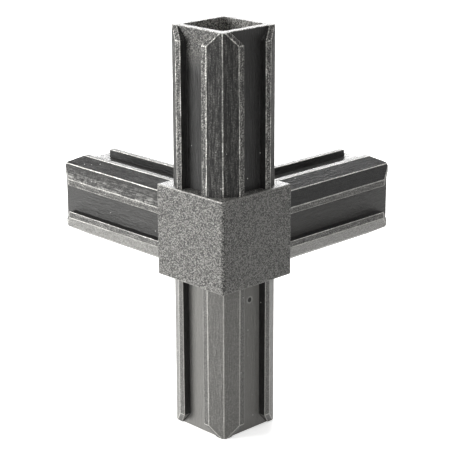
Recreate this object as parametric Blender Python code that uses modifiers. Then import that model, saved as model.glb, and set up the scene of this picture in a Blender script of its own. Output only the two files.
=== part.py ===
"""Square tube connector, moulded in one piece from glass-filled nylon.

A cubic hub carries four hollow legs: up, down, left and back. Each leg presses
into the end of a square tube, and the tube then stands flush with the hub.
Units are metres, +Z is up, and the origin is the middle of the underside of
the part's bounding box.
"""
import math

import bmesh
import bpy
from mathutils import Matrix, Vector

MM = 0.001

# The square tube that the legs go into
TUBE_SIDE = 25.0 * MM
TUBE_WALL = 1.0 * MM
PRESS_PER_SIDE = 0.1 * MM

# A leg: a square core with two ridges along each of its four faces
LEG_LENGTH = 42.25 * MM
LEG_WALL = 1.95 * MM
RIDGE_HEIGHT = 2.25 * MM
FLANK_WIDTH = 3.85 * MM
CREST_WIDTH = 1.65 * MM
RIDGE_DRAFT = 0.1 * MM
LEG_EDGE_RADIUS = 0.15 * MM
LEG_EDGE_SEGMENTS = 2
LEAST_ROUNDED_ANGLE = math.radians(12)

# The lead-in at a leg's tip, where the ridges slope down and the grooves open
LEAD_IN_LENGTH = 3.5 * MM
FLARE_FROM_CORNER = 2.4 * MM
RIM_RIDGE_HEIGHT = 0.35 * MM

# The hub
FRONT_EDGE_RADIUS = 0.9 * MM
SEAT_EDGE_RADIUS = 0.35 * MM
HUB_EDGE_SEGMENTS = 4
LEG_ROOT_OVERLAP = 3.0 * MM

# The pockets that core out the legs
POCKET_CORNER_RADIUS = 0.8 * MM
POCKET_CORNER_SEGMENTS = 3
POCKET_DRAFT = math.radians(0.4)
CENTRE_WEB = 2.5 * MM
CUTTER_OVERSHOOT = 2.0 * MM

# Finish of the plastic
PLASTIC_COLOUR = (0.035, 0.033, 0.032, 1.0)
PLASTIC_ROUGHNESS = 0.42

# What follows from the sizes above
CORE_SIDE = TUBE_SIDE - 2 * (TUBE_WALL - PRESS_PER_SIDE + RIDGE_HEIGHT)
TIP_RIDGE_HEIGHT = RIDGE_HEIGHT - RIDGE_DRAFT
FLANK_SLOPE = RIDGE_HEIGHT / FLANK_WIDTH
GROOVE_FROM_CORNER = FLANK_WIDTH + CREST_WIDTH
TIP = TUBE_SIDE / 2 + LEG_LENGTH
POCKET_HALF = CORE_SIDE / 2 - LEG_WALL
HUB_CENTRE = Vector((LEG_LENGTH / 2, -LEG_LENGTH / 2, TIP))

# Turn that carries a leg from +Z to its own direction, and where its pocket
# ends, measured from the hub's centre
UPRIGHT_POCKET_END = CENTRE_WEB / 2
SIDE_POCKET_END = POCKET_HALF + LEG_WALL
LEGS = {
    "up": (Matrix.Identity(4), UPRIGHT_POCKET_END),
    "down": (Matrix.Rotation(math.pi, 4, "X"), UPRIGHT_POCKET_END),
    "left": (Matrix.Rotation(-math.pi / 2, 4, "Y"), SIDE_POCKET_END),
    "back": (Matrix.Rotation(-math.pi / 2, 4, "X"), SIDE_POCKET_END),
}


def clear_scene():
    for item in list(bpy.data.objects):
        bpy.data.objects.remove(item)


def new_collection(name):
    collection = bpy.data.collections.new(name)
    bpy.context.scene.collection.children.link(collection)
    return collection


def object_from(shape, name, collection):
    """Turn a bmesh into an object that sits at the hub's centre."""
    mesh = bpy.data.meshes.new(name)
    bmesh.ops.recalc_face_normals(shape, faces=shape.faces)
    shape.to_mesh(mesh)
    shape.free()
    item = bpy.data.objects.new(name, mesh)
    item.location = HUB_CENTRE
    collection.objects.link(item)
    return item


def as_cutter(item):
    item.hide_render = True
    item.display_type = "WIRE"
    return item


def plastic():
    material = bpy.data.materials.new("moulded_nylon")
    material.use_nodes = True
    surface = material.node_tree.nodes["Principled BSDF"]
    surface.inputs["Base Color"].default_value = PLASTIC_COLOUR
    surface.inputs["Roughness"].default_value = PLASTIC_ROUGHNESS
    surface.inputs["Metallic"].default_value = 0.0
    return material


def add_bevel(item, width, segments, limit):
    bevel = item.modifiers.new("rounded_edges", "BEVEL")
    bevel.width = width
    bevel.segments = segments
    bevel.limit_method = limit
    return bevel


def add_boolean(item, other, operation):
    boolean = item.modifiers.new(other.name, "BOOLEAN")
    boolean.operation = operation
    boolean.solver = "EXACT"
    boolean.object = other


def leg_section(ridge_height, crest_start, groove_start):
    """Outline of a leg, with two ridges on each side of a square core.

    crest_start and groove_start are distances along the face from the core's
    corner: a flank slopes up to crest_start, and the crest ends in a square
    step down into the groove at groove_start.
    """
    half = CORE_SIDE / 2
    side = (
        (-half, 0.0),
        (-half + crest_start, ridge_height),
        (-half + groove_start, ridge_height),
        (-half + groove_start, 0.0),
        (half - groove_start, 0.0),
        (half - groove_start, ridge_height),
        (half - crest_start, ridge_height),
    )
    outline = []
    for quarter in range(4):
        turn = Matrix.Rotation(quarter * math.pi / 2, 2)
        outline += [turn @ Vector((along, -half - out)) for along, out in side]
    return outline


def loft(sections):
    """Closed solid through outlines that all have the same number of points."""
    shape = bmesh.new()
    rings = []
    for height, outline in sections:
        rings.append([shape.verts.new((x, y, height)) for x, y in outline])
    for lower, upper in zip(rings, rings[1:]):
        for i in range(len(lower)):
            shape.faces.new((lower[i - 1], lower[i], upper[i], upper[i - 1]))
    shape.faces.new(rings[0])
    shape.faces.new(rings[-1])
    return shape


def make_leg(name, turn, collection):
    """One leg, from its root inside the hub to its open tip."""
    root_section = leg_section(RIDGE_HEIGHT, FLANK_WIDTH, GROOVE_FROM_CORNER)
    neck_section = leg_section(
        TIP_RIDGE_HEIGHT, TIP_RIDGE_HEIGHT / FLANK_SLOPE, GROOVE_FROM_CORNER)
    rim_section = leg_section(
        RIM_RIDGE_HEIGHT, RIM_RIDGE_HEIGHT / FLANK_SLOPE, FLARE_FROM_CORNER)
    shape = loft((
        (TUBE_SIDE / 2 - LEG_ROOT_OVERLAP, root_section),
        (TIP - LEAD_IN_LENGTH, neck_section),
        (TIP, rim_section),
    ))
    bmesh.ops.transform(shape, matrix=turn, verts=shape.verts)
    leg = as_cutter(object_from(shape, name + "_leg", collection))
    bevel = add_bevel(leg, LEG_EDGE_RADIUS, LEG_EDGE_SEGMENTS, "ANGLE")
    bevel.angle_limit = LEAST_ROUNDED_ANGLE
    return leg


def make_pocket(name, turn, end, collection):
    """Cutter for a leg's hollow: square, with rounded corners and a slight draft."""
    length = TIP + CUTTER_OVERSHOOT - end
    spread = math.tan(POCKET_DRAFT)
    mouth_half = POCKET_HALF + spread * CUTTER_OVERSHOOT
    end_half = mouth_half - spread * length
    shape = bmesh.new()
    bmesh.ops.create_cone(
        shape, cap_ends=True, segments=4, depth=length,
        radius1=end_half * math.sqrt(2), radius2=mouth_half * math.sqrt(2),
        matrix=Matrix.Translation((0, 0, end + length / 2)) @ Matrix.Rotation(math.pi / 4, 4, "Z"))
    corners = [edge for edge in shape.edges
               if abs(edge.verts[0].co.z - edge.verts[1].co.z) > length / 2]
    bmesh.ops.bevel(
        shape, geom=corners, offset=POCKET_CORNER_RADIUS, offset_type="OFFSET",
        segments=POCKET_CORNER_SEGMENTS, profile=0.5, affect="EDGES")
    bmesh.ops.transform(shape, matrix=turn, verts=shape.verts)
    return as_cutter(object_from(shape, name + "_pocket", collection))


def make_hub(collection):
    """Cube with soft edges, the fullest on the corner between its two bare faces."""
    shape = bmesh.new()
    bmesh.ops.create_cube(shape, size=TUBE_SIDE)
    weight = shape.edges.layers.float.new("bevel_weight_edge")
    for edge in shape.edges:
        on_front_corner = all(vert.co.x > 0 and vert.co.y < 0 for vert in edge.verts)
        edge[weight] = 1.0 if on_front_corner else SEAT_EDGE_RADIUS / FRONT_EDGE_RADIUS
    hub = object_from(shape, "connector_body", collection)
    add_bevel(hub, FRONT_EDGE_RADIUS, HUB_EDGE_SEGMENTS, "WEIGHT")
    return hub


def make_connector():
    parts = new_collection("square_tube_connector")
    cutters = new_collection("cutters")
    body = make_hub(parts)
    for name, (turn, _) in LEGS.items():
        add_boolean(body, make_leg(name, turn, cutters), "UNION")
    for name, (turn, end) in LEGS.items():
        add_boolean(body, make_pocket(name, turn, end, cutters), "DIFFERENCE")
    body.data.materials.append(plastic())
    return body


clear_scene()
make_connector()
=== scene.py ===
"""Looks of a square tube connector: a black glass-filled nylon moulding in a white studio.

The moulding is one piece: a cubic hub with four hollow, ridged legs. It is
modelled here with fine rounded edges in the same place as the CAD node, dressed
with a procedural look whose tones also hold painted light and shade, lit by soft
lamps and seen from the photograph's side.
"""

import logging
import math
from dataclasses import dataclass, field
from enum import Enum
from typing import Any, Iterable, Optional, Sequence

import bmesh
import bpy
from mathutils import Matrix, Vector

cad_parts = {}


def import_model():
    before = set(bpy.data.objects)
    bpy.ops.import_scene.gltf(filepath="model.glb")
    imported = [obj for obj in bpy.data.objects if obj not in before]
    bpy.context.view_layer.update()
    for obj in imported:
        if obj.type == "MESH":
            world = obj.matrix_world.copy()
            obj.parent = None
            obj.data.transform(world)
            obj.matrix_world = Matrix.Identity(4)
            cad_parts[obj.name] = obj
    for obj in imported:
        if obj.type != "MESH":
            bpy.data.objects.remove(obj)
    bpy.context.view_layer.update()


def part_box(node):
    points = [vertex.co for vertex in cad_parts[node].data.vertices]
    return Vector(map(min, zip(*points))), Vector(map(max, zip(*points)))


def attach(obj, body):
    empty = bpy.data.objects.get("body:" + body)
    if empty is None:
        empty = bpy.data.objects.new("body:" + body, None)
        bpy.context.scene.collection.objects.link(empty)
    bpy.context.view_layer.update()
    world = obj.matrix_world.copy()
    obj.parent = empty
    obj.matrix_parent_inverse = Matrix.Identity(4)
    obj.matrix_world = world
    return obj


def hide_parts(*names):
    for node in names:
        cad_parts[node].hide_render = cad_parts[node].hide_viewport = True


LOG = logging.getLogger("tube_connector")
MM = 0.001
SAME_PLACE = 1e-7
CAD_NODE = "connector_body"
BODY = "root"
WHITE = "#ffffff"

# Settings that several shader nodes share, and the numbers of the Mix node's
# sockets, whose names aren't unique
MULTIPLY = {"operation": "MULTIPLY"}
MULTIPLY_ADD = {"operation": "MULTIPLY_ADD"}
LARGER = {"operation": "MAXIMUM"}
SMOOTH = {"interpolation_type": "SMOOTHSTEP"}
COLOURS = {"data_type": "RGBA"}
FIRST_COLOUR = 6
SECOND_COLOUR = 7
MIXED_COLOUR = 2
FIRST_VALUE = 2
SECOND_VALUE = 3


def linear(hex_colour: str) -> tuple[float, float, float, float]:
    """Turn an sRGB hex colour into linear light, by the sRGB standard's formula.

    Args:
        hex_colour: Six hex digits, with or without a leading hash.

    Returns:
        Red, green and blue, linear, and an alpha of 1.
    """
    digits = hex_colour.lstrip("#")
    channels = [int(digits[i:i + 2], 16) / 255 for i in (0, 2, 4)]
    red, green, blue = (
        c / 12.92 if c <= 0.04045 else ((c + 0.055) / 1.055) ** 2.4 for c in channels)
    return red, green, blue, 1.0


def add_node(
    tree: bpy.types.NodeTree,
    kind: str,
    settings: Optional[dict[str, Any]] = None,
    inputs: Optional[dict[Any, Any]] = None,
) -> bpy.types.Node:
    """Add one shader node.

    Args:
        tree: The node tree that takes the node.
        kind: The node's Blender type name.
        settings: Properties to set on the node.
        inputs: Socket name or number to a value, or to an output socket to link.

    Returns:
        The new node.
    """
    node = tree.nodes.new(kind)
    for name, value in (settings or {}).items():
        setattr(node, name, value)
    for key, value in (inputs or {}).items():
        if isinstance(value, bpy.types.NodeSocket):
            tree.links.new(value, node.inputs[key])
        else:
            node.inputs[key].default_value = value
    return node


def seen_or_mirrored(tree: bpy.types.NodeTree) -> bpy.types.NodeSocket:
    """Tell rays that look at the backdrop from those that carry its light.

    Args:
        tree: The node tree.

    Returns:
        1 for camera, glossy and transmission rays, 0 for the rest.
    """
    path = add_node(tree, "ShaderNodeLightPath").outputs
    seen = add_node(
        tree, "ShaderNodeMath", LARGER, {0: path["Is Camera Ray"], 1: path["Is Glossy Ray"]})
    either = add_node(
        tree, "ShaderNodeMath", LARGER, {0: seen.outputs[0], 1: path["Is Transmission Ray"]})
    return either.outputs[0]


def as_object(shape: bmesh.types.BMesh, name: str) -> bpy.types.Object:
    """Put a bmesh into a new object of the scene.

    Args:
        shape: The mesh, which is freed.
        name: The object's name.

    Returns:
        The new object.
    """
    mesh = bpy.data.meshes.new(name)
    shape.to_mesh(mesh)
    shape.free()
    made = bpy.data.objects.new(name, mesh)
    bpy.context.scene.collection.objects.link(made)
    return made


def extrude_to(
    shape: bmesh.types.BMesh,
    face: bmesh.types.BMFace,
    points: Sequence[Vector],
    height: float,
) -> bmesh.types.BMFace:
    """Extrude a face and move its new corners to another outline.

    Args:
        shape: The mesh that holds the face.
        face: The end face, whose corners are in the outline's order.
        points: Where each corner goes, in the same order.
        height: The level that the corners go to.

    Returns:
        The new end face.
    """
    first = face.verts[0].co.copy()
    made = bmesh.ops.extrude_discrete_faces(shape, faces=[face])["faces"][0]
    corners = list(made.verts)
    shift = next(
        i for i, vert in enumerate(corners) if (vert.co - first).length < SAME_PLACE)
    for i, point in enumerate(points):
        corners[(i + shift) % len(corners)].co = (*point, height)
    return made


class Leg(Enum):
    """The four legs.

    Each value is the turn in degrees and its axis, which carry +Z to the leg's
    direction, then the painted light on its groove floors and on its flanks and
    the strengths of its grain and drag marks, all against the usual ones: the
    upper leg is painted darker and streaked, the lower one smooth and painted
    paler for light bounced up from below.
    """

    # Floor and flank factors are painted light: upper and back legs painted darker, lower leg
    # painted paler for light bounced up from below
    UP = (0.0, "X", 0.2, 0.52, 1.2, 0.9)
    DOWN = (180.0, "X", 2.7, 2.1, 0.4, 0.08)
    LEFT = (-90.0, "Y", 0.4, 0.45, 0.8, 0.6)
    BACK = (-90.0, "X", 0.65, 0.1, 0.6, 0.35)

    def __init__(
        self,
        degrees: float,
        axis: str,
        floor_painted_light: float,
        flank_painted_light: float,
        grain_share: float,
        drag_share: float,
    ) -> None:
        """Name what the value holds.

        Args:
            degrees: The angle from +Z to the leg's direction.
            axis: The axis that it turns round.
            floor_painted_light: Factor of painted light on the groove floors, below 1 for painted
                shade.
            flank_painted_light: Factor of painted light on the ridges' flanks, below 1 for painted
                shade.
            grain_share: Strength of the grain.
            drag_share: Strength of the drag marks.
        """
        self.turn = Matrix.Rotation(math.radians(degrees), 4, axis)
        self.floor_painted_light = floor_painted_light
        self.flank_painted_light = flank_painted_light
        self.grain_share = grain_share
        self.drag_share = drag_share

    @classmethod
    def at(cls, spot: Vector) -> "Leg":
        """Find the leg that a place is on.

        Args:
            spot: The place, from the hub's centre.

        Returns:
            The leg whose direction is nearest.
        """
        return max(cls, key=lambda leg: (leg.turn @ Vector((0, 0, 1))).dot(spot))

    @property
    def upright(self) -> bool:
        """Whether the leg stands on the vertical line through the hub."""
        return self in (Leg.UP, Leg.DOWN)


@dataclass(frozen=True)
class LegShape:
    """Sizes of one ridged hollow leg, and the methods that make it.

    The ledge is the step from the hub's face down to a crest, which the tube's
    wall fills. The lead-in is the stretch at the tip where the ridges run down
    to the rim height and the grooves flare.
    """

    hub_side: float
    length: float
    wall: float = 1.95 * MM
    ledge: float = 0.9 * MM
    ridge_height: float = 2.25 * MM
    ridge_draft: float = 0.1 * MM
    flank_width: float = 3.85 * MM
    crest_width: float = 1.65 * MM
    lead_in: float = 3.5 * MM
    rim_height: float = 0.35 * MM
    flare_from_corner: float = 2.4 * MM
    root_overlap: float = 3.0 * MM
    edge_radius: float = 0.15 * MM
    edge_segments: int = 3
    least_rounded_angle: float = math.radians(12)
    pocket_corner: float = 0.8 * MM
    pocket_segments: int = 5
    pocket_draft: float = math.radians(0.4)
    centre_web: float = 2.5 * MM
    overshoot: float = 2.0 * MM

    @property
    def core_half(self) -> float:
        """Half the width of the square core."""
        return self.hub_side / 2 - self.ledge - self.ridge_height

    @property
    def tip(self) -> float:
        """Distance of the leg's rim from the hub's centre."""
        return self.hub_side / 2 + self.length

    def outline(self, height: float, groove_start: float) -> list[Vector]:
        """Outline of the leg with two ridges on each side.

        Args:
            height: How far the ridges stand out from the core. Their flanks
                keep one slope, so it also sets where the crests start.
            groove_start: Distance from the core's corner to the groove.

        Returns:
            Points in order round the leg.
        """
        half = self.core_half
        crest_start = self.flank_width * height / self.ridge_height
        side = (
            (-half, 0.0),
            (-half + crest_start, height),
            (-half + groove_start, height),
            (-half + groove_start, 0.0),
            (half - groove_start, 0.0),
            (half - groove_start, height),
            (half - crest_start, height),
        )
        points = []
        for quarter in range(4):
            turn = Matrix.Rotation(quarter * math.pi / 2, 2)
            points += [turn @ Vector((along, -half - out)) for along, out in side]
        return points

    def solid(self, leg: Leg) -> bmesh.types.BMesh:
        """Extrude the outline from the hub to the tip and round its edges.

        Args:
            leg: Which leg it is.

        Returns:
            A closed mesh round the hub's centre.
        """
        groove = self.flank_width + self.crest_width
        root = self.outline(self.ridge_height, groove)
        neck = self.outline(self.ridge_height - self.ridge_draft, groove)
        rim = self.outline(self.rim_height, self.flare_from_corner)
        start = self.hub_side / 2 - self.root_overlap
        shape = bmesh.new()
        face = shape.faces.new([shape.verts.new((*point, start)) for point in root])
        for points, height in ((neck, self.tip - self.lead_in), (rim, self.tip)):
            face = extrude_to(shape, face, points, height)
        bmesh.ops.recalc_face_normals(shape, faces=shape.faces)
        edges = [
            edge for edge in shape.edges if edge.calc_face_angle(0.0) > self.least_rounded_angle]
        bmesh.ops.bevel(
            shape, geom=edges, offset=self.edge_radius, offset_type="OFFSET",
            segments=self.edge_segments, profile=0.5, affect="EDGES", clamp_overlap=True,
            material=-1)
        bmesh.ops.transform(shape, matrix=leg.turn, verts=shape.verts)
        return shape

    def pocket(self, leg: Leg) -> bmesh.types.BMesh:
        """The space inside a leg: square, drafted, with rounded corners.

        Args:
            leg: Which leg it is.

        Returns:
            A closed mesh round the hub's centre, to be cut from the moulding.
        """
        end = self.centre_web / 2 if leg.upright else self.core_half
        length = self.tip + self.overshoot - end
        spread = math.tan(self.pocket_draft)
        mouth_half = self.core_half - self.wall + spread * self.overshoot
        end_half = mouth_half - spread * length
        place = Matrix.Translation((0, 0, end + length / 2))
        shape = bmesh.new()
        bmesh.ops.create_cone(
            shape, cap_ends=True, segments=4, depth=length,
            radius1=end_half * math.sqrt(2), radius2=mouth_half * math.sqrt(2),
            matrix=place @ Matrix.Rotation(math.pi / 4, 4, "Z"))
        corners = [
            edge for edge in shape.edges
            if abs(edge.verts[0].co.z - edge.verts[1].co.z) > length / 2]
        bmesh.ops.bevel(
            shape, geom=corners, offset=self.pocket_corner, offset_type="OFFSET",
            segments=self.pocket_segments, profile=0.5, affect="EDGES", material=-1)
        bmesh.ops.recalc_face_normals(shape, faces=shape.faces)
        bmesh.ops.transform(shape, matrix=leg.turn, verts=shape.verts)
        return shape


@dataclass(frozen=True)
class HubShape:
    """Sizes of the cubic hub, and the method that makes it."""

    side: float
    front_radius: float = 0.9 * MM
    seat_radius: float = 0.35 * MM
    edge_segments: int = 6

    def solid(self) -> bpy.types.Object:
        """Make a cube with soft edges, the fullest between its two bare faces.

        Returns:
            An object round the hub's centre.
        """
        shape = bmesh.new()
        bmesh.ops.create_cube(shape, size=self.side)
        weight = shape.edges.layers.float.new("bevel_weight_edge")
        for edge in shape.edges:
            front = all(vert.co.x > 0 and vert.co.y < 0 for vert in edge.verts)
            edge[weight] = 1.0 if front else self.seat_radius / self.front_radius
        hub = as_object(shape, "hub_blank")
        bevel = hub.modifiers.new("soft_edges", "BEVEL")
        bevel.width = self.front_radius
        bevel.segments = self.edge_segments
        bevel.limit_method = "WEIGHT"
        return hub


class Region(Enum):
    """Surfaces that the mould leaves unlike each other.

    Each value is the tone against the base colour, the strength of the grain
    and the strength of the drag marks that run along a leg. Some tones are
    painted light: a painted highlight on the edges, painted shade on the groove
    floors and walls, and painted light in the pockets.
    """

    HUB = (1.15, 1.0, 0.0)
    # Painted highlight: the hub's rounded edges are painted paler
    HUB_EDGE = (1.6, 0.5, 0.0)
    FLANK = (0.5, 0.5, 1.0)
    CREST = (0.75, 0.8, 0.8)
    # Groove floors painted darker: partly their smoother skin, partly painted shade cast by the
    # ridges
    FLOOR = (0.45, 0.12, 0.1)
    # Groove walls painted near black: partly their smoother skin, partly painted shade deep in the
    # grooves
    WALL = (0.08, 0.1, 0.2)
    # Pocket walls painted paler: painted light where the lamp falls into the hollows
    POCKET = (1.9, 0.8, 0.0)
    RIM = (1.5, 0.6, 0.35)
    # Painted highlight: the thin edge strips are painted much paler, broken up by drag streaks
    EDGE = (3.0, 0.4, 0.7)


@dataclass(frozen=True)
class SurfaceMap:
    """Tells which region a face of the moulding belongs to.

    A facing value says how squarely a face looks along an axis: 0 is edge on
    and 1 is square on. The bands lie round the nominal surfaces and are given
    in edge radii, and the groove's half width is a share of the core's.
    """

    hub_half: float
    core_half: float
    wall: float
    tip: float
    edge_radius: float
    hub_face_facing: float = 0.999
    upright_edge_facing: float = 0.1
    rim_facing: float = 0.9
    wall_facing: float = 0.8
    flank_facing: float = 0.2
    strip_inward_facing: float = 0.7
    strip_outward_facing: float = 0.15
    hub_band: float = 0.1
    skin_band: float = 3.0
    rim_band: float = 1.5
    strip_width: float = 0.9
    groove_share: float = 0.85

    def region(self, spot: Vector, normal: Vector, width: float) -> tuple[Region, Vector]:
        """Sort one face.

        Args:
            spot: The face's middle, from the hub's centre.
            normal: The face's normal.
            width: About how wide the face is at its narrowest.

        Returns:
            The region, and the axis of the leg that the face is on, or a zero
            vector on the hub.
        """
        reach = [abs(value) for value in spot]
        along = reach.index(max(reach))
        if reach[along] < self.hub_half + self.hub_band * self.edge_radius:
            if reach[along] <= self.hub_half - self.skin_band * self.edge_radius:
                return Region.POCKET, Vector()
            flat = max(abs(value) for value in normal) > self.hub_face_facing
            plain = flat or abs(normal.z) < self.upright_edge_facing
            return (Region.HUB if plain else Region.HUB_EDGE), Vector()
        direction = Vector([float(axis == along) for axis in range(3)])
        return self.leg_region(reach, normal, width, along), direction

    def leg_region(
        self, reach: Sequence[float], normal: Vector, width: float, along: int,
    ) -> Region:
        """Sort one face of a leg.

        Args:
            reach: Distances of the face's middle from the hub's centre on each axis.
            normal: The face's normal.
            width: About how wide the face is at its narrowest.
            along: The leg's axis.

        Returns:
            The region.
        """
        outer, inner = sorted((a for a in range(3) if a != along), key=lambda a: -reach[a])
        inside = reach[outer] < self.core_half - self.wall / 2
        if inside and abs(normal[along]) < self.rim_facing:
            return Region.POCKET
        low = reach[outer] < self.core_half + self.edge_radius
        if width < self.strip_width * self.edge_radius:
            near_rim = reach[along] > self.tip - self.rim_band * self.edge_radius
            in_groove = reach[inner] < self.groove_share * self.core_half
            in_foot = low and in_groove and not near_rim
            between_walls = (
                abs(normal[outer]) < self.strip_outward_facing
                and abs(normal[inner]) > self.strip_inward_facing)
            return Region.WALL if in_foot or between_walls else Region.EDGE
        if abs(normal[along]) > self.rim_facing:
            return Region.RIM
        if abs(normal[inner]) > self.wall_facing:
            return Region.WALL
        if abs(normal[inner]) > self.flank_facing:
            return Region.FLANK
        return Region.FLOOR if low else Region.CREST


@dataclass(frozen=True)
class GlassFilledNylon:
    """Black nylon 6 with glass fibre, moulded in a spark-eroded tool.

    It gives the eye a charcoal grey, since fibres lie in the skin. The hub has
    the tool's full grain, the legs are smoother and carry drag marks from
    leaving the mould, and edges are painted paler as a painted highlight for
    the light that they catch. Real grain and drag marks of this kind, about
    0.1 mm wide, are too fine to show, so they are drawn as coarse as they need to show.

    Tones are factors for the base colour. A window is the part of a pattern
    that is spread over 0 to 1.
    """

    centre: Vector
    leg_tip: float
    colour: str = "#72716e"
    roughness: float = 0.42
    dragged_roughness: float = 0.7
    ior: float = 1.5
    specular_level: float = 0.32
    relief_mm: float = 0.2
    drag_relief: float = 0.5
    grain_mm: float = 0.26
    grain_tones: tuple[float, float] = (0.2, 4.2)
    crater_window: tuple[float, float] = (0.75, 0.1)
    height_window: tuple[float, float] = (0.25, 0.7)
    drag_mm: float = 0.42
    drag_squeeze: float = 0.1
    drag_tones: tuple[float, float] = (0.25, 2.8)
    drag_window: tuple[float, float] = (0.43, 0.66)
    mouth_low_mm: float = 13.0
    mouth_high_mm: float = 3.9
    mouth_tone: float = 0.8
    # Painted reflection: a pale blotchy band along the left leg's upper flank, with its colour,
    # height band, patches and streaks
    reflection_colour: str = "#c6c5c1"
    reflection_low_mm: float = 5.2
    reflection_high_mm: float = 9.4
    reflection_patch_mm: float = 3.0
    reflection_window: tuple[float, float] = (0.42, 0.56)
    reflection_grain: float = 0.5
    flaw_at_mm: tuple[float, float, float] = (9.35, 0.2, -17.5)
    flaw_rings_mm: tuple[tuple[float, str], ...] = ((1.2, "#a9a8a5"), (0.8, "#1c1c1b"))
    flaw_core: float = 0.7
    speck_colour: str = "#e9e8e4"
    speck_spacing_mm: float = 3.8
    speck_mm: float = 0.2
    speck_core: float = 0.6
    speck_strength: float = 0.85

    def material(self) -> bpy.types.Material:
        """Build the node material.

        Returns:
            The finished material.
        """
        made = bpy.data.materials.new("glass_filled_nylon_grain_and_painted_light")
        made.use_nodes = True
        tree = made.node_tree
        surface = tree.nodes["Principled BSDF"]
        place = add_node(tree, "ShaderNodeTexCoord").outputs["Object"]
        # Each face's tone, with its painted light and shade, then its grain and drag strengths
        finish_and_painted_light = add_node(tree, "ShaderNodeAttribute", {"attribute_name": "finish_and_painted_light"})
        shares = add_node(
            tree, "ShaderNodeSeparateXYZ", None, {"Vector": finish_and_painted_light.outputs["Vector"]})
        tone, grain_share, drag_share = shares.outputs
        # Mask of the rubbed floor at the upper leg's mouth and of the left leg's flank under the
        # painted reflection
        wear_and_reflection = add_node(tree, "ShaderNodeAttribute", {"attribute_name": "wear_and_reflection"}).outputs["Fac"]
        mouth = self.near_mouth(tree, place, wear_and_reflection)
        mouth_tone = add_node(
            tree, "ShaderNodeMath", MULTIPLY, {0: mouth, 1: self.mouth_tone}).outputs[0]
        tone = add_node(tree, "ShaderNodeMath", LARGER, {0: tone, 1: mouth_tone}).outputs[0]
        grain_share = add_node(
            tree, "ShaderNodeMath", LARGER, {0: grain_share, 1: mouth}).outputs[0]
        grain = self.grain(tree, place)
        drag = self.drag_marks(tree, place)
        for pattern, share, tones in (
                (grain, grain_share, self.grain_tones), (drag, drag_share, self.drag_tones)):
            change = self.tone_change(tree, pattern, share, tones)
            tone = add_node(tree, "ShaderNodeMath", MULTIPLY, {0: tone, 1: change}).outputs[0]
        base = add_node(
            tree, "ShaderNodeVectorMath", {"operation": "SCALE"},
            {0: linear(self.colour)[:3], "Scale": tone})
        # Painted reflection on the left leg's upper flank
        with_painted_reflection = self.painted_reflection(tree, place, wear_and_reflection, grain, drag, base.outputs[0])
        dressed = self.specks(tree, place, self.flaw(tree, place, with_painted_reflection))
        tree.links.new(dressed, surface.inputs["Base Color"])
        grain_relief = add_node(tree, "ShaderNodeMath", MULTIPLY, {0: grain, 1: grain_share})
        relief = add_node(
            tree, "ShaderNodeMath", MULTIPLY_ADD,
            {0: drag, 1: self.drag_relief, 2: grain_relief.outputs[0]})
        bump = add_node(
            tree, "ShaderNodeBump", None,
            {"Height": relief.outputs[0], "Distance": self.relief_mm * MM, "Strength": 1.0})
        tree.links.new(bump.outputs["Normal"], surface.inputs["Normal"])
        rough = add_node(
            tree, "ShaderNodeMath", MULTIPLY_ADD,
            {0: drag_share, 1: self.dragged_roughness - self.roughness, 2: self.roughness})
        tree.links.new(rough.outputs[0], surface.inputs["Roughness"])
        surface.inputs["IOR"].default_value = self.ior
        surface.inputs["Specular IOR Level"].default_value = self.specular_level
        return made

    def grain(self, tree: bpy.types.NodeTree, place: bpy.types.NodeSocket) -> bpy.types.NodeSocket:
        """Spark-eroded grain: craters that each catch the light in their own way.

        Args:
            tree: The material's node tree.
            place: Object coordinates.

        Returns:
            A value from 0 to 1.
        """
        craters = add_node(
            tree, "ShaderNodeTexVoronoi", {"feature": "F1"},
            {"Vector": place, "Scale": 1 / (self.grain_mm * MM)})
        random = add_node(
            tree, "ShaderNodeSeparateColor", None, {"Color": craters.outputs["Color"]})
        middle = add_node(
            tree, "ShaderNodeMapRange", None,
            {"Value": craters.outputs["Distance"], "From Min": self.crater_window[0],
             "From Max": self.crater_window[1]})
        height = add_node(
            tree, "ShaderNodeMapRange", None,
            {"Value": random.outputs["Red"], "From Min": self.height_window[0],
             "From Max": self.height_window[1]})
        return add_node(
            tree, "ShaderNodeMath", MULTIPLY,
            {0: height.outputs[0], 1: middle.outputs[0]}).outputs[0]

    def drag_marks(
        self, tree: bpy.types.NodeTree, place: bpy.types.NodeSocket,
    ) -> bpy.types.NodeSocket:
        """Fine streaks along each leg, left as it was pulled from the mould.

        Args:
            tree: The material's node tree.
            place: Object coordinates.

        Returns:
            A value from 0 to 1.
        """
        leg = add_node(tree, "ShaderNodeAttribute", {"attribute_name": "leg_direction"})
        direction = leg.outputs["Vector"]
        distance = add_node(
            tree, "ShaderNodeVectorMath", {"operation": "DOT_PRODUCT"}, {0: place, 1: direction})
        shift = add_node(
            tree, "ShaderNodeMath", MULTIPLY,
            {0: distance.outputs["Value"], 1: self.drag_squeeze - 1})
        squeezed = add_node(
            tree, "ShaderNodeVectorMath", MULTIPLY_ADD,
            {0: direction, 1: shift.outputs[0], 2: place})
        noise = add_node(
            tree, "ShaderNodeTexNoise", {"noise_dimensions": "3D"},
            {"Vector": squeezed.outputs[0], "Scale": 1 / (self.drag_mm * MM), "Detail": 3.0,
             "Roughness": 0.65})
        streaks = add_node(
            tree, "ShaderNodeMapRange", None,
            {"Value": noise.outputs["Fac"], "From Min": self.drag_window[0],
             "From Max": self.drag_window[1]})
        return streaks.outputs[0]

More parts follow.
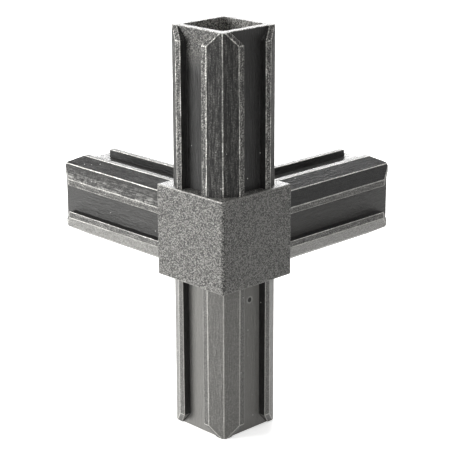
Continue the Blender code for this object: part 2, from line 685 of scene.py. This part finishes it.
    def tone_change(
        self,
        tree: bpy.types.NodeTree,
        pattern: bpy.types.NodeSocket,
        share: bpy.types.NodeSocket,
        tones: tuple[float, float],
    ) -> bpy.types.NodeSocket:
        """Turn a pattern into a factor for the base colour.

        Args:
            tree: The material's node tree.
            pattern: The pattern, 0 to 1.
            share: How much of it shows.
            tones: The factors where the pattern is 0 and where it is 1.

        Returns:
            The factor, 1 where the share is 0.
        """
        full = add_node(
            tree, "ShaderNodeMapRange", None,
            {"Value": pattern, "To Min": tones[0], "To Max": tones[1]})
        mixed = add_node(
            tree, "ShaderNodeMix", {"data_type": "FLOAT"},
            {"Factor": share, FIRST_VALUE: 1.0, SECOND_VALUE: full.outputs[0]})
        return mixed.outputs[0]

    def near_mouth(
        self,
        tree: bpy.types.NodeTree,
        place: bpy.types.NodeSocket,
        wear_and_reflection: bpy.types.NodeSocket,
    ) -> bpy.types.NodeSocket:
        """Find the rubbed floor near the upper leg's mouth, where the grain comes through.

        Args:
            tree: The material's node tree.
            place: Object coordinates.
            wear_and_reflection: Which faces are marked; near the mouth these are the rubbed floor.

        Returns:
            A value from 0, lower down, to 1 at the mouth.
        """
        level = add_node(tree, "ShaderNodeSeparateXYZ", None, {"Vector": place}).outputs["Z"]
        tip = self.centre.z + self.leg_tip
        near_tip = add_node(
            tree, "ShaderNodeMapRange", SMOOTH,
            {"Value": level, "From Min": tip - self.mouth_low_mm * MM,
             "From Max": tip - self.mouth_high_mm * MM})
        return add_node(
            tree, "ShaderNodeMath", MULTIPLY, {0: near_tip.outputs[0], 1: wear_and_reflection}).outputs[0]

    def painted_reflection(
        self,
        tree: bpy.types.NodeTree,
        place: bpy.types.NodeSocket,
        wear_and_reflection: bpy.types.NodeSocket,
        grain: bpy.types.NodeSocket,
        drag: bpy.types.NodeSocket,
        colour: bpy.types.NodeSocket,
    ) -> bpy.types.NodeSocket:
        """Paint a pale band along the front of the left leg's upper ridge: a painted reflection in
        blotchy patches.

        Args:
            tree: The material's node tree.
            place: Object coordinates.
            wear_and_reflection: Which faces are marked; the left leg's upper flank takes the
                painted reflection.
            grain: The grain pattern.
            drag: The drag mark pattern.
            colour: The colour beneath.

        Returns:
            The colour with the painted reflection.
        """
        level = add_node(tree, "ShaderNodeSeparateXYZ", None, {"Vector": place}).outputs["Z"]
        band = add_node(
            tree, "ShaderNodeMapRange", SMOOTH,
            {"Value": level, "From Min": self.centre.z + self.reflection_high_mm * MM,
             "From Max": self.centre.z + self.reflection_low_mm * MM})
        noise = add_node(
            tree, "ShaderNodeTexNoise", {"noise_dimensions": "3D"},
            {"Vector": place, "Scale": 1 / (self.reflection_patch_mm * MM), "Detail": 6.0,
             "Roughness": 0.8})
        patches = add_node(
            tree, "ShaderNodeMapRange", None,
            {"Value": noise.outputs["Fac"], "From Min": self.reflection_window[0],
             "From Max": self.reflection_window[1]})
        streaked = add_node(
            tree, "ShaderNodeMath", MULTIPLY_ADD, {0: grain, 1: self.reflection_grain, 2: drag})
        amount = wear_and_reflection
        for share in (band, patches, streaked):
            amount = add_node(
                tree, "ShaderNodeMath", MULTIPLY, {0: amount, 1: share.outputs[0]}).outputs[0]
        mixed = add_node(
            tree, "ShaderNodeMix", COLOURS,
            {"Factor": amount, FIRST_COLOUR: colour, SECOND_COLOUR: linear(self.reflection_colour)})
        return mixed.outputs[MIXED_COLOUR]

    def flaw(
        self,
        tree: bpy.types.NodeTree,
        place: bpy.types.NodeSocket,
        colour: bpy.types.NodeSocket,
    ) -> bpy.types.NodeSocket:
        """Mark the small round flaw near the top of the lower leg's right groove.

        Args:
            tree: The material's node tree.
            place: Object coordinates.
            colour: The colour beneath.

        Returns:
            The colour with a dark spot in a pale ring.
        """
        spot = self.centre + Vector(self.flaw_at_mm) * MM
        distance = add_node(
            tree, "ShaderNodeVectorMath", {"operation": "DISTANCE"}, {0: place, 1: spot})
        for radius_mm, shade in self.flaw_rings_mm:
            inside = add_node(
                tree, "ShaderNodeMapRange", SMOOTH,
                {"Value": distance.outputs["Value"], "From Min": radius_mm * MM,
                 "From Max": self.flaw_core * radius_mm * MM})
            mixed = add_node(
                tree, "ShaderNodeMix", COLOURS,
                {"Factor": inside.outputs[0], FIRST_COLOUR: colour,
                 SECOND_COLOUR: linear(shade)})
            colour = mixed.outputs[MIXED_COLOUR]
        return colour

    def specks(
        self,
        tree: bpy.types.NodeTree,
        place: bpy.types.NodeSocket,
        colour: bpy.types.NodeSocket,
    ) -> bpy.types.NodeSocket:
        """Scatter a few pale specks of dust over the surface.

        Args:
            tree: The material's node tree.
            place: Object coordinates.
            colour: The colour beneath.

        Returns:
            The colour with specks.
        """
        cells = add_node(
            tree, "ShaderNodeTexVoronoi", {"feature": "F1"},
            {"Vector": place, "Scale": 1 / (self.speck_spacing_mm * MM)})
        radius = self.speck_mm / self.speck_spacing_mm
        spot = add_node(
            tree, "ShaderNodeMapRange", SMOOTH,
            {"Value": cells.outputs["Distance"], "From Min": radius,
             "From Max": self.speck_core * radius, "To Max": self.speck_strength})
        mixed = add_node(
            tree, "ShaderNodeMix", COLOURS,
            {"Factor": spot.outputs[0], FIRST_COLOUR: colour,
             SECOND_COLOUR: linear(self.speck_colour)})
        return mixed.outputs[MIXED_COLOUR]


@dataclass(frozen=True)
class Moulding:
    """The whole connector: hub, legs and pockets as one skin.

    The tones change a face's own tone: painted bounce light on the undersides,
    a painted highlight on the top edges and painted shade on flanks that face up.
    A facing value says how squarely a face looks down, up or to the front left
    before it counts as doing so.
    """

    hub: HubShape
    legs: LegShape
    centre: Vector
    # Painted bounce light: the side legs' undersides are painted paler
    underside_painted_bounce: float = 3.0
    underside_drag: float = 0.25
    underside_facing: float = 0.3
    # Painted highlight on the top edges
    top_edge_painted_highlight: float = 2.0
    top_edge_facing: float = 0.5
    hub_edge_facing: float = 0.3
    # Painted shade on flanks that face up
    top_flank_painted_shade: float = 0.45
    top_flank_facing: float = 0.7
    # Facing limits of the rubbed floor and of the painted reflection
    wear_and_reflection_front_facing: float = 0.7
    reflection_top_facing: float = 0.3
    smooth_angle: float = math.radians(40)

    def finish_and_painted_light(self, region: Region, normal: Vector, leg: Leg) -> tuple[float, float, float]:
        """Work out how one face looks, painted light and shade included.

        Args:
            region: The face's region.
            normal: The face's normal.
            leg: The leg nearest to the face.

        Returns:
            The tone and the strengths of the grain and of the drag marks.
        """
        tone, grain, drag = region.value
        if region is Region.FLOOR:
            # Painted light and shade on the groove floors, per leg
            tone *= leg.floor_painted_light
        elif region is Region.FLANK:
            # Painted bounce light on the side legs' undersides, else the leg's painted light on
            # the flanks
            underside = not leg.upright and normal.z < -self.underside_facing
            tone *= self.underside_painted_bounce if underside else leg.flank_painted_light
            drag *= self.underside_drag if underside else 1.0
            # Painted shade on flanks that face up
            tone *= self.top_flank_painted_shade if normal.z > self.top_flank_facing else 1.0
        elif region is Region.EDGE:
            # Painted highlight on the side legs' top edges
            top = not leg.upright and normal.z > self.top_edge_facing
            tone *= self.top_edge_painted_highlight if top else 1.0
        elif region is Region.HUB_EDGE:
            # Painted highlight on the hub's top left edges
            top_left = min(normal.z, -normal.y) > self.hub_edge_facing
            tone *= self.top_edge_painted_highlight if top_left else 1.0
        if region not in (Region.HUB, Region.HUB_EDGE, Region.POCKET):
            grain = min(1.0, grain * leg.grain_share)
        return tone, grain, drag * leg.drag_share

    def wear_and_reflection(self, region: Region, normal: Vector, leg: Leg) -> bool:
        """Tell whether a face is among the marked ones, which all look to the front left.

        Args:
            region: The face's region.
            normal: The face's normal.
            leg: The leg nearest to the face.

        Returns:
            True on the left leg's upper flank, which takes the painted reflection, and on the
            upper leg's groove floor, which is rubbed.
        """
        if -normal.y <= self.wear_and_reflection_front_facing:
            return False
        if leg is Leg.LEFT:
            return region is Region.FLANK and normal.z > self.reflection_top_facing
        return leg is Leg.UP and region is Region.FLOOR

    def map_regions(self, mesh: bpy.types.Mesh) -> None:
        """Write each face's tone with its painted light and shade, its grain and drag,
        its leg direction and its mask of rubbed and painted reflection faces into the mesh.

        Args:
            mesh: The joined skin, round the hub's centre.
        """
        legs = self.legs
        surfaces = SurfaceMap(
            self.hub.side / 2, legs.core_half, legs.wall, legs.tip, legs.edge_radius)
        finishes_and_painted_light, directions, wear_and_reflection_flags = [], [], []
        for face in mesh.polygons:
            corners = [mesh.vertices[i].co for i in face.vertices]
            round_trip = sum((a - b).length for a, b in zip(corners, corners[1:] + corners[:1]))
            # For a long thin face this is its width
            width = 2 * face.area / round_trip
            region, direction = surfaces.region(face.center, face.normal, width)
            leg = Leg.at(face.center)
            finishes_and_painted_light.extend(self.finish_and_painted_light(region, face.normal, leg))
            directions.extend(direction)
            # Marks the rubbed floor and the faces under the painted reflection
            wear_and_reflection_flags.append(float(self.wear_and_reflection(region, face.normal, leg)))
        for name, values in (("finish_and_painted_light", finishes_and_painted_light), ("leg_direction", directions)):
            layer = mesh.attributes.new(name, "FLOAT_VECTOR", "FACE")
            layer.data.foreach_set("vector", values)
        mesh.attributes.new("wear_and_reflection", "FLOAT", "FACE").data.foreach_set("value", wear_and_reflection_flags)

    def build(self) -> bpy.types.Object:
        """Join the hub and legs, cut the pockets and smooth the edges.

        Returns:
            The finished piece, in place, with its object at the origin.
        """
        body = self.hub.solid()
        tools = [(as_object(self.legs.solid(leg), f"{leg.name}_leg"), "UNION") for leg in Leg]
        tools += [
            (as_object(self.legs.pocket(leg), f"{leg.name}_pocket"), "DIFFERENCE") for leg in Leg]
        for tool, operation in tools:
            cut = body.modifiers.new(tool.name, "BOOLEAN")
            cut.operation = operation
            cut.solver = "EXACT"
            cut.object = tool
        bpy.context.view_layer.update()
        depsgraph = bpy.context.evaluated_depsgraph_get()
        mesh = bpy.data.meshes.new_from_object(body.evaluated_get(depsgraph))
        for used in [body] + [tool for tool, _ in tools]:
            bpy.data.objects.remove(used)
        self.map_regions(mesh)
        mesh.transform(Matrix.Translation(self.centre))
        mesh.name = "connector_moulding"
        mesh.shade_smooth()
        mesh.set_sharp_from_angle(angle=self.smooth_angle)
        piece = bpy.data.objects.new("connector_moulding", mesh)
        bpy.context.scene.collection.objects.link(piece)
        weighted = piece.modifiers.new("flat_faces_stay_flat", "WEIGHTED_NORMAL")
        weighted.keep_sharp = True
        return piece

    def dress(self, piece: bpy.types.Object) -> None:
        """Give the piece its material.

        Args:
            piece: The built piece.
        """
        piece.data.materials.clear()
        piece.data.materials.append(GlassFilledNylon(self.centre, self.legs.tip).material())


@dataclass(frozen=True)
class PhotoCamera:
    """The photograph's camera, given by its place round the hub.

    Lengths are in hub sides, apart from the clipping distances, in metres. The
    offsets are how far the line of sight passes to the right of and above the
    hub's centre.
    """

    azimuth: float = math.radians(43.9)
    elevation: float = math.radians(17.63)
    roll: float = math.radians(-0.21)
    distance: float = 16.6
    right_offset: float = 0.029
    up_offset: float = 0.0225
    lens_mm: float = 124.4
    sensor_mm: float = 36.0
    nearest_seen: float = 0.01
    farthest_seen: float = 20.0

    def build(self, hub_centre: Vector, hub_side: float) -> bpy.types.Object:
        """Make the scene's camera.

        Args:
            hub_centre: The middle of the hub.
            hub_side: The hub's side in metres.

        Returns:
            The camera object.
        """
        level = math.cos(self.elevation)
        back = Vector((
            math.cos(self.azimuth) * level,
            -math.sin(self.azimuth) * level,
            math.sin(self.elevation)))
        right = Vector((math.sin(self.azimuth), math.cos(self.azimuth), 0.0))
        up = back.cross(right)
        rolled_right = right * math.cos(self.roll) + up * math.sin(self.roll)
        rolled_up = up * math.cos(self.roll) - right * math.sin(self.roll)
        eye = hub_centre + hub_side * (
            back * self.distance + rolled_right * self.right_offset + rolled_up * self.up_offset)
        lens = bpy.data.cameras.new("photo_camera")
        lens.lens = self.lens_mm
        lens.sensor_width = self.sensor_mm
        lens.clip_start = self.nearest_seen
        lens.clip_end = self.farthest_seen
        camera = bpy.data.objects.new("photo_camera", lens)
        turn = Matrix((rolled_right, rolled_up, back)).transposed().to_4x4()
        camera.matrix_world = Matrix.Translation(eye) @ turn
        bpy.context.scene.collection.objects.link(camera)
        bpy.context.scene.camera = camera
        return camera


@dataclass(frozen=True)
class Lamp:
    """One square soft lamp that faces the hub, in metres and watts."""

    name: str
    direction: tuple[float, float, float]
    size: float
    power: float
    distance: float = 0.9

    def build(self, target: Vector) -> bpy.types.Object:
        """Hang the lamp and point it.

        Args:
            target: What the lamp faces.

        Returns:
            The lamp object.
        """
        data = bpy.data.lights.new(self.name, "AREA")
        data.shape = "SQUARE"
        data.size = self.size
        data.energy = self.power
        lamp = bpy.data.objects.new(self.name, data)
        towards = Vector(self.direction).normalized()
        lamp.location = target + towards * self.distance
        lamp.rotation_euler = towards.to_track_quat("Z", "Y").to_euler()
        bpy.context.scene.collection.objects.link(lamp)
        return lamp


@dataclass(frozen=True)
class Studio:
    """Pale floor, white surround and soft lamps.

    Looked at or mirrored, the floor is near white with a glow and the surround
    is white. The light that they throw on the part is that of the bounce colour
    and the world level.
    """

    floor_side: float = 6.0
    floor_colour: str = "#fbfbfa"
    floor_roughness: float = 0.9
    bounce_colour: str = "#dadad9"
    backdrop_glow: float = 0.6
    world_level: float = 0.25
    lamps: Iterable[Lamp] = field(default_factory=lambda: (
        Lamp("key_left", (-0.75, -1.0, 0.2), size=0.6, power=13.8),
        Lamp("fill_right", (1.0, -0.6, -0.02), size=0.3, power=1.2),
        Lamp("back_low", (-0.72, 0.69, 0.34), size=0.45, power=8.0),
        Lamp("top_soft", (0.1, 0.6, 1.0), size=0.5, power=1.4),
    ))

    def build(self, target: Vector) -> None:
        """Lay the floor, set the world and hang the lamps.

        Args:
            target: What the lamps face.
        """
        self.floor()
        self.world()
        for lamp in self.lamps:
            lamp.build(target)

    def floor(self) -> None:
        """Lay a large pale floor under the part."""
        shape = bmesh.new()
        bmesh.ops.create_grid(shape, x_segments=1, y_segments=1, size=self.floor_side / 2)
        floor = as_object(shape, "studio_floor")
        made = bpy.data.materials.new("matt_white_board")
        made.use_nodes = True
        tree = made.node_tree
        surface = tree.nodes["Principled BSDF"]
        seen = seen_or_mirrored(tree)
        colour = add_node(
            tree, "ShaderNodeMix", COLOURS,
            {"Factor": seen, FIRST_COLOUR: linear(self.bounce_colour),
             SECOND_COLOUR: linear(self.floor_colour)})
        tree.links.new(colour.outputs[MIXED_COLOUR], surface.inputs["Base Color"])
        glow = add_node(tree, "ShaderNodeMath", MULTIPLY, {0: seen, 1: self.backdrop_glow})
        surface.inputs["Emission Color"].default_value = linear(WHITE)
        tree.links.new(glow.outputs[0], surface.inputs["Emission Strength"])
        surface.inputs["Roughness"].default_value = self.floor_roughness
        floor.data.materials.append(made)

    def world(self) -> None:
        """White where the camera and reflections look, plain grey light elsewhere."""
        world = bpy.data.worlds.new("white_surround")
        world.use_nodes = True
        tree = world.node_tree
        tree.nodes.clear()
        level = add_node(
            tree, "ShaderNodeMapRange", None,
            {"Value": seen_or_mirrored(tree), "To Min": self.world_level, "To Max": 1.0})
        light = add_node(
            tree, "ShaderNodeBackground", None,
            {"Color": linear(WHITE), "Strength": level.outputs[0]})
        add_node(tree, "ShaderNodeOutputWorld", None, {"Surface": light.outputs[0]})
        bpy.context.scene.world = world


def main() -> None:
    """Load the frame, build the moulding, the studio and the camera."""
    logging.basicConfig(level=logging.INFO, format="%(name)s: %(message)s")
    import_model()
    low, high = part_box(CAD_NODE)
    leg_length = (high.z - low.z) - (high.x - low.x)
    hub_side = (high.z - low.z) - 2 * leg_length
    centre = Vector((high.x - hub_side / 2, low.y + hub_side / 2, (low.z + high.z) / 2))

    PhotoCamera().build(centre, hub_side)
    connector = Moulding(HubShape(hub_side), LegShape(hub_side, leg_length), centre)
    moulding = connector.build()
    connector.dress(moulding)
    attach(moulding, BODY)
    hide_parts(CAD_NODE)
    LOG.info("%s: %d faces", moulding.name, len(moulding.data.polygons))

    Studio().build(centre)
    bpy.context.scene.view_settings.view_transform = "Standard"


if __name__ == "__main__":
    main()
